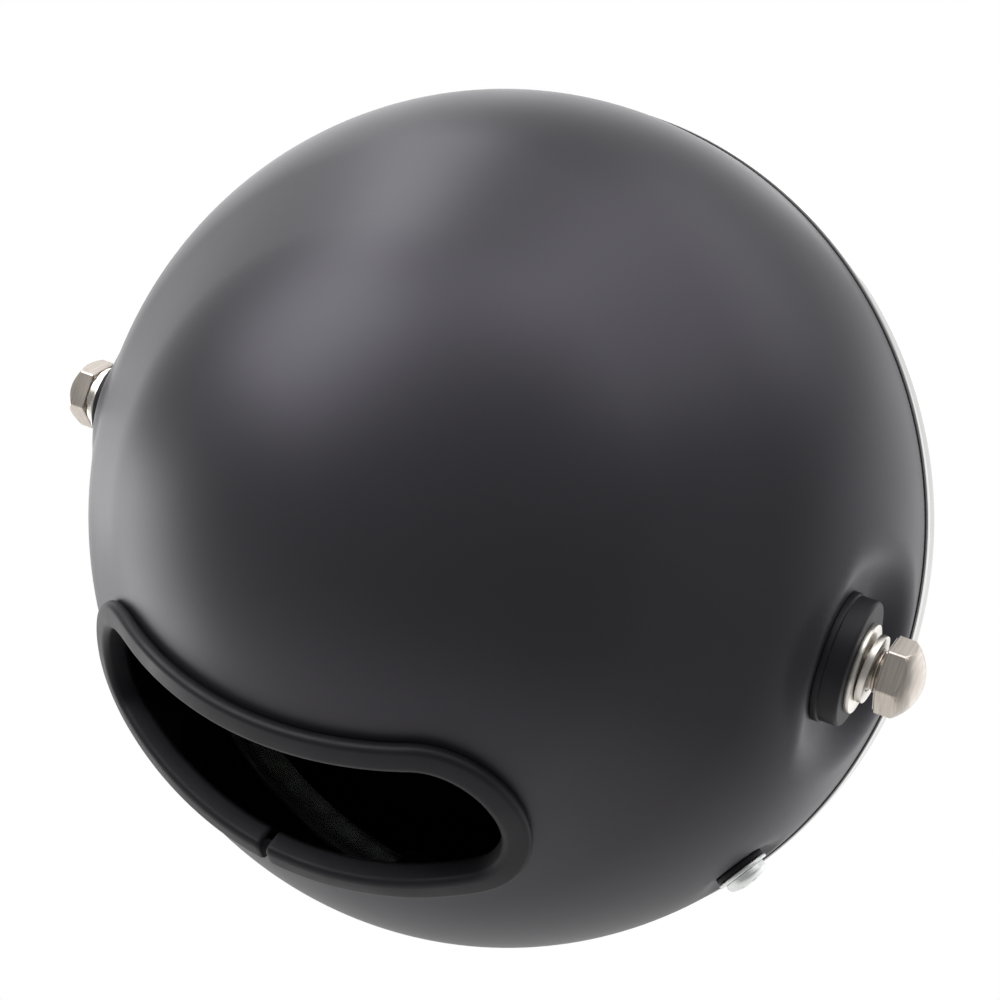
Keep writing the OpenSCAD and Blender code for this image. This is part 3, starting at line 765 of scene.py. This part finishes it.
def head_rings():
    """Rings of the bolt's head: a washer face, six flats, and a domed top that cuts their corners."""
    corners = [math.radians(30 + 60 * k) for k in range(6)]
    angles = []
    for corner in corners:
        angles += [corner + math.radians(d) for d in (-24, -18, -12, -6, -1.5, 0, 1.5, 6, 12, 18, 24, 30)]
    reach = [(a, head_reach(a)) for a in angles]
    rings = []
    for share, lift in HEAD_FOOT:
        rings.append([(r * share * math.cos(a), r * share * math.sin(a), lift) for a, r in reach])
    rings.append([(r * math.cos(a), r * math.sin(a), dome_height(r) - DOME_EDGE) for a, r in reach])
    for share in DOME_SHARES:
        rings.append([(r * share * math.cos(a), r * share * math.sin(a), dome_height(r * share))
                      for a, r in reach])
    return rings


def thread_outline(low, high):
    """Half outline of a threaded rod as (radius, height), with flat crests and a chamfered end."""
    crest = BOLT_R - THREAD_CREST_IN
    points = [(0, low), (crest - THREAD_CHAMFER, low), (crest, low + THREAD_CHAMFER)]
    turns = int((high - low - THREAD_CHAMFER - THREAD_CREST_IN) / THREAD_PITCH)
    for k in range(turns):
        start = high - (turns - k) * THREAD_PITCH
        for share, sunk in ((0.05, 0.0), (0.2, 0.0), (0.55, THREAD_DEEP), (0.7, THREAD_DEEP)):
            points.append((BOLT_R - sunk, start + share * THREAD_PITCH))
    return points + [(crest, high), (0, high)]


def side_stack(s, word, rubber_h, bare):
    """One side bolt with its split washer, flat washer and rubber washer; bare is the thread that shows."""
    rubber_face = PAD_X + rubber_h
    head_face = rubber_face + FLAT_H + SPLIT_H + bare
    flat_h = FLAT_H - FLAT_THINNER * bare
    flat_face = rubber_face + flat_h

    bm = bmesh.new()
    loft(bm, head_rings())
    turn = Matrix.Rotation(HEAD_TURN[s], 4, "Z")
    bmesh.ops.transform(bm, matrix=Matrix.Translation((0, 0, head_face)) @ turn, verts=bm.verts[:])
    spun(bm, thread_outline(BOLT_END, head_face + THREAD_CREST_IN), closed=False, steps=ROD_N)
    finish_piece(bm, word + "_bolt_smooth", word + "_bolt", SATIN_NICKEL, side(s), 22)

    bm = bmesh.new()
    flat_r = LEFT_FLAT_R if s == LEFT else FLAT_R
    ring_washer(bm, flat_r, BOLT_R + THREAD_CLEAR + FLAT_DROP, rubber_face, flat_h, 0.15)
    drop = Matrix.Translation((0, 0, -FLAT_DROP))
    finish_piece(bm, word + "_flat_washer_smooth", word + "_flat_washer", WASHER_NICKEL,
                 drop @ side(s), 40)

    bm = bmesh.new()
    loft(bm, split_rings(flat_face, bare))
    finish_piece(bm, word + "_split_washer_smooth", word + "_split_washer", WASHER_NICKEL,
                 side(s), 40)

    bm = bmesh.new()
    inner = BOLT_R + THREAD_CLEAR
    rubber_r = LEFT_RUBBER_R if s == LEFT else RUBBER_R
    lip_r = rubber_r + RUBBER_LIP_OUT
    spun(bm, rounded([
        (inner, PAD_X, 0),
        (lip_r, PAD_X, 0.2),
        (lip_r, PAD_X + RUBBER_LIP_H, 0.4),
        (rubber_r, PAD_X + RUBBER_LIP_H + 0.1, 0.1),
        (rubber_r, rubber_face, 0.7),
        (inner, rubber_face, 0.3)], 5))
    finish_piece(bm, word + "_rubber_washer_smooth", word + "_rubber_washer", WASHER_RUBBER,
                 side(s), 45)


def ring_washer(bm, outer, inner, low, height, edge):
    """A plain washer about local z, with its edges rounded by edge."""
    spun(bm, rounded([(inner, low, edge / 2), (outer, low, edge), (outer, low + height, edge),
                      (inner, low + height, edge / 2)]))


def split_rings(low, bare):
    """Sections round the split washer from one side of its gap to the other; a loose one leans."""
    inner = BOLT_R + THREAD_CLEAR
    high = SPLIT_H - SPLIT_THINNER * bare
    section = rounded([(inner, 0, 0.2), (SPLIT_R, 0, 0.2), (SPLIT_R, high, 0.2), (inner, high, 0.2)])
    gap = SPLIT_GAP / 2 / SPLIT_R
    rings = []
    for i in range(SPLIT_N + 1):
        a = SPLIT_AT + gap + (2 * math.pi - 2 * gap) * i / SPLIT_N
        lean = bare * SPLIT_LEAN * (1 + math.cos(a))
        rings.append([(p.x * math.cos(a), p.x * math.sin(a), low + lean + p.y) for p in section])
    return rings


def rim_stack(s, word):
    """One rim screw with its bright washer and small rubber washer."""
    low = SEAT_AT
    bm = bmesh.new()
    ring_washer(bm, SCREW_RUBBER_R, SCREW_R + THREAD_CLEAR, low, SCREW_RUBBER_H, 0.35)
    finish_piece(bm, word + "_rim_rubber_smooth", word + "_rim_rubber_washer", WASHER_RUBBER,
                 rim(s), 45)
    low += SCREW_RUBBER_H
    bm = bmesh.new()
    ring_washer(bm, SCREW_WASHER_R, SCREW_R + THREAD_CLEAR, low, SCREW_WASHER_H, 0.25)
    finish_piece(bm, word + "_rim_washer_smooth", word + "_rim_screw_washer", BRIGHT_ZINC,
                 rim(s), 40)
    low += SCREW_WASHER_H
    bm = bmesh.new()
    turns = [math.pi / 2 * k / 10 for k in range(10, 0, -1)]
    crown = [(PAN_R * math.sin(turn), PAN_WALL + (PAN_H - PAN_WALL) * math.cos(turn)) for turn in turns]
    outline = [(0, low), (PAN_R - 0.2, low), (PAN_R, low + 0.2)]
    outline += [(r, low + h) for r, h in crown]
    outline.append((0, low + PAN_H))
    spun(bm, outline, closed=False, steps=ROD_N)
    bmesh.ops.remove_doubles(bm, verts=bm.verts[:], dist=WELD_MM)
    bmesh.ops.transform(bm, matrix=rim(s), verts=bm.verts[:])
    head = cutter(bm)
    mesh = head.data
    bpy.data.objects.remove(head)
    tools = []
    for turn in (45, 135):
        bm = bmesh.new()
        bmesh.ops.create_cube(bm, size=1.0)
        bmesh.ops.scale(bm, vec=(CROSS_L, CROSS_W, PAN_H), verts=bm.verts[:])
        up = Matrix.Translation((0, 0, low + PAN_H * 1.5 - CROSS_H))
        spin = Matrix.Rotation(math.radians(turn), 4, "Z")
        bmesh.ops.transform(bm, matrix=rim(s) @ up @ spin, verts=bm.verts[:])
        tools.append(cutter(bm))
    mesh = cut_away(mesh, tools)
    bm = bmesh.new()
    bm.from_mesh(mesh)
    bmesh.ops.scale(bm, vec=(1 / MM, 1 / MM, 1 / MM), verts=bm.verts[:])
    shank = bmesh.new()
    rod = [(0, RIM_END), (SCREW_R - 0.5, RIM_END), (SCREW_R, RIM_END + 0.5), (SCREW_R, low + 0.2)]
    spun(shank, rod + [(0, low + 0.2)], closed=False, steps=48)
    bmesh.ops.transform(shank, matrix=rim(s), verts=shank.verts[:])
    part = bpy.data.meshes.new("shank")
    shank.to_mesh(part)
    shank.free()
    bm.from_mesh(part)
    bpy.data.meshes.remove(part)
    finish_piece(bm, word + "_rim_screw_smooth", word + "_rim_screw", BRIGHT_ZINC,
                 AS_DRAWN, 30)


def smooth_bezel():
    """Chrome bezel as one smooth turned sheet, with its seal."""
    outer = []
    inner = []
    for i in range(ROLL_N + 1):
        a = math.pi / 2 * i / ROLL_N
        for row, t in ((outer, 0), (inner, BEZEL_WALL)):
            row.append((LIP_OUT_R + (BEZEL_IN - t) * math.cos(a),
                        BEZEL_BEND - (BEZEL_FWD - t) * math.sin(a)))
    band = [(BEZEL_R, BEZEL_BEND + (BEZEL_BACK - 0.4 - BEZEL_BEND) * i / 4) for i in range(1, 5)]
    bm = bmesh.new()
    outline = [(FLANGE_R, BEZEL_BACK), (BEZEL_R - 0.5, BEZEL_BACK), (BEZEL_R - 0.15, BEZEL_BACK - 0.12)]
    outline += band[::-1] + outer
    outline += [(LIP_IN_R + 0.1, LIP_BACK - BEZEL_WALL), (LIP_IN_R, LIP_BACK - 0.4), (LIP_IN_R, LIP_BACK)]
    outline += inner[::-1]
    outline += [(BEZEL_R - BEZEL_WALL, BEZEL_BACK - BEZEL_WALL), (FLANGE_R, BEZEL_BACK - BEZEL_WALL)]
    spun(bm, outline, steps=AROUND_N)
    finish_piece(bm, "bezel_smooth", "bezel", BEZEL_CHROME, LAMP, 30)
    bm = bmesh.new()
    seal_r = SHELL_R + BEZEL_OUT / 2
    section = rounded([(FLANGE_R, -SEAL_H, 0), (seal_r, -SEAL_H, 0.3), (seal_r, 0, 0.3), (FLANGE_R, 0, 0)])
    spun(bm, section, steps=AROUND_N)
    finish_piece(bm, "bezel_seal_smooth", "bezel_seal", SEAL_RUBBER, LAMP, 40)


def cap(rim_r, bulge, at):
    """Points of a shallow dome from its middle to its rim, bulging towards the front."""
    shares = [i / CAP_N for i in range(CAP_N + 1)]
    return [(rim_r * share, at - bulge * (1 - share ** 2)) for share in shares]


def bowl(offset):
    """Points of the reflector's parabola from the bulb's hole to the lens, moved out along its normal."""
    points = []
    for i in range(BOWL_N + 1):
        r = BULB_HOLE_R + (MIRROR_R - BULB_HOLE_R) * i / BOWL_N
        slope = r / (2 * FOCAL)
        step = offset / math.hypot(1, slope)
        points.append((r + step * slope, LENS_BACK + (MIRROR_R ** 2 - r ** 2) / (4 * FOCAL) + step))
    return points


def smooth_lamp_unit():
    """Domed lens and turned reflector, smooth enough to mirror the room cleanly."""
    bm = bmesh.new()
    back = LENS_BACK + MIRROR_WALL
    outer = bowl(MIRROR_WALL)
    rim_r = outer[-1][0]
    collar_r = BULB_HOLE_R + MIRROR_WALL
    collar_end = bowl(0)[0][1] + COLLAR_H
    outline = bowl(0)[::-1] + [(BULB_HOLE_R, collar_end), (collar_r, collar_end)]
    outline += [p for p in outer if p[0] > collar_r + 0.4 and p[1] > back]
    outline += [(rim_r, back), (LENS_R - 0.1, back), (LENS_R, back - 0.1), (LENS_R, LENS_BACK)]
    spun(bm, outline, steps=AROUND_N)
    finish_piece(bm, "reflector_smooth", "reflector", MIRROR_WITH_SHADE_BACK, LAMP, 40)
    bm = bmesh.new()
    outline = cap(LENS_FACE_R, LENS_BULGE, LENS_FRONT)
    outline += [(LENS_R - 0.4, LENS_FRONT), (LENS_R, LENS_FRONT + 0.4), (LENS_R, LENS_BACK)]
    outline += cap(LENS_FACE_R - LENS_WALL, LENS_BULGE, LENS_BACK)[::-1]
    spun(bm, outline, closed=False, steps=AROUND_N)
    finish_piece(bm, "lens_smooth", "lens", LENS_GLASS, LAMP, 30)


smooth_bucket()
wire_trim()
smooth_lamp_unit()
side_stack(LEFT, "left", LEFT_RUBBER_H, 0.0)
side_stack(RIGHT, "right", RUBBER_H, BARE_THREAD)
rim_stack(LEFT, "left")
rim_stack(RIGHT, "right")
smooth_bezel()


def photo_camera():
    """The photograph's camera: behind the lamp, to its right and a little above, and rolled."""
    data = bpy.data.cameras.new("photo_camera")
    data.sensor_width = CAMERA_SENSOR
    data.lens = CAMERA_LENS
    camera = bpy.data.objects.new("photo_camera", data)
    camera.location = Vector(CAMERA_AT) * MM
    aim = Vector(CAMERA_TOWARDS).to_track_quat("-Z", "Y")
    camera.rotation_mode = "QUATERNION"
    camera.rotation_quaternion = aim @ Quaternion((0, 0, 1), CAMERA_ROLL)
    bpy.context.collection.objects.link(camera)
    bpy.context.scene.camera = camera


def softbox(name, place_mm, size_mm, watts):
    """A square soft light that faces the lamp and isn't seen itself."""
    data = bpy.data.lights.new(name, "AREA")
    data.shape = "RECTANGLE"
    data.size = size_mm[0] * MM
    data.size_y = size_mm[1] * MM
    data.energy = watts
    light = bpy.data.objects.new(name, data)
    light.visible_camera = False
    light.location = Vector(place_mm) * MM
    light.rotation_mode = "QUATERNION"
    light.rotation_quaternion = (-light.location).to_track_quat("-Z", "Y")
    bpy.context.collection.objects.link(light)


def either(tree, first, second):
    """The greater of two sockets, so that it is 1 where either ray flag is."""
    node = add(tree, "ShaderNodeMath", {"operation": "MAXIMUM"})
    tree.links.new(first, node.inputs[0])
    tree.links.new(second, node.inputs[1])
    return node.outputs[0]


def paper_room():
    """White to the camera and through glass; else white before the lens and dim behind the bucket."""
    world = bpy.data.worlds.new("paper_room")
    world.use_nodes = True
    bpy.context.scene.world = world
    tree = world.node_tree
    tree.nodes.clear()
    output = add(tree, "ShaderNodeOutputWorld")
    place = add(tree, "ShaderNodeTexCoord")
    parts = add(tree, "ShaderNodeSeparateXYZ", Vector=place.outputs["Generated"])
    paper = add(tree, "ShaderNodeMapRange",
                {"From Min": -0.1, "From Max": -0.8, "To Min": ROOM_DIM, "To Max": 1.0},
                Value=parts.outputs["Y"])
    room = add(tree, "ShaderNodeBackground", {"Color": (1, 1, 1, 1)}, Strength=paper.outputs["Result"])
    white = add(tree, "ShaderNodeBackground", {"Color": (1, 1, 1, 1), "Strength": 1.0})
    path = add(tree, "ShaderNodeLightPath")
    seen = either(tree, path.outputs["Is Camera Ray"], path.outputs["Is Transmission Ray"])
    mix = add(tree, "ShaderNodeMixShader", Fac=seen)
    tree.links.new(room.outputs[0], mix.inputs[1])
    tree.links.new(white.outputs[0], mix.inputs[2])
    tree.links.new(mix.outputs[0], output.inputs["Surface"])


def pale_floor():
    """Round pale floor well below the lamp; its faint glow is for sight only, so it keeps the shadow."""
    bm = bmesh.new()
    bmesh.ops.create_circle(bm, segments=96, radius=FLOOR_R * MM, cap_ends=True)
    bmesh.ops.translate(bm, verts=bm.verts[:], vec=(0, 0, -FLOOR_DROP * MM))
    mesh = bpy.data.meshes.new("pale_floor")
    bm.to_mesh(mesh)
    bm.free()
    floor = bpy.data.objects.new("pale_floor", mesh)
    bpy.context.collection.objects.link(floor)
    material, tree, output = new_material("pale_paper")
    path = add(tree, "ShaderNodeLightPath")
    seen = either(tree, path.outputs["Is Camera Ray"], path.outputs["Is Glossy Ray"])
    seen = either(tree, seen, path.outputs["Is Transmission Ray"])
    glow = add(tree, "ShaderNodeMath", {"operation": "MULTIPLY"})
    tree.links.new(seen, glow.inputs[0])
    glow.inputs[1].default_value = FLOOR_GLOW
    paper = {"Roughness": 0.9, "Base Color": linear("#d4d3d1"), "Emission Color": (1, 1, 1, 1)}
    surface(tree, output, paper, Emission_Strength=glow.outputs[0])
    mesh.materials.append(material)


def studio():
    """Camera, room, floor and lights."""
    photo_camera()
    paper_room()
    pale_floor()
    for box in SOFTBOXES:
        softbox(*box)


studio()
bpy.context.scene.view_settings.view_transform = "Standard"
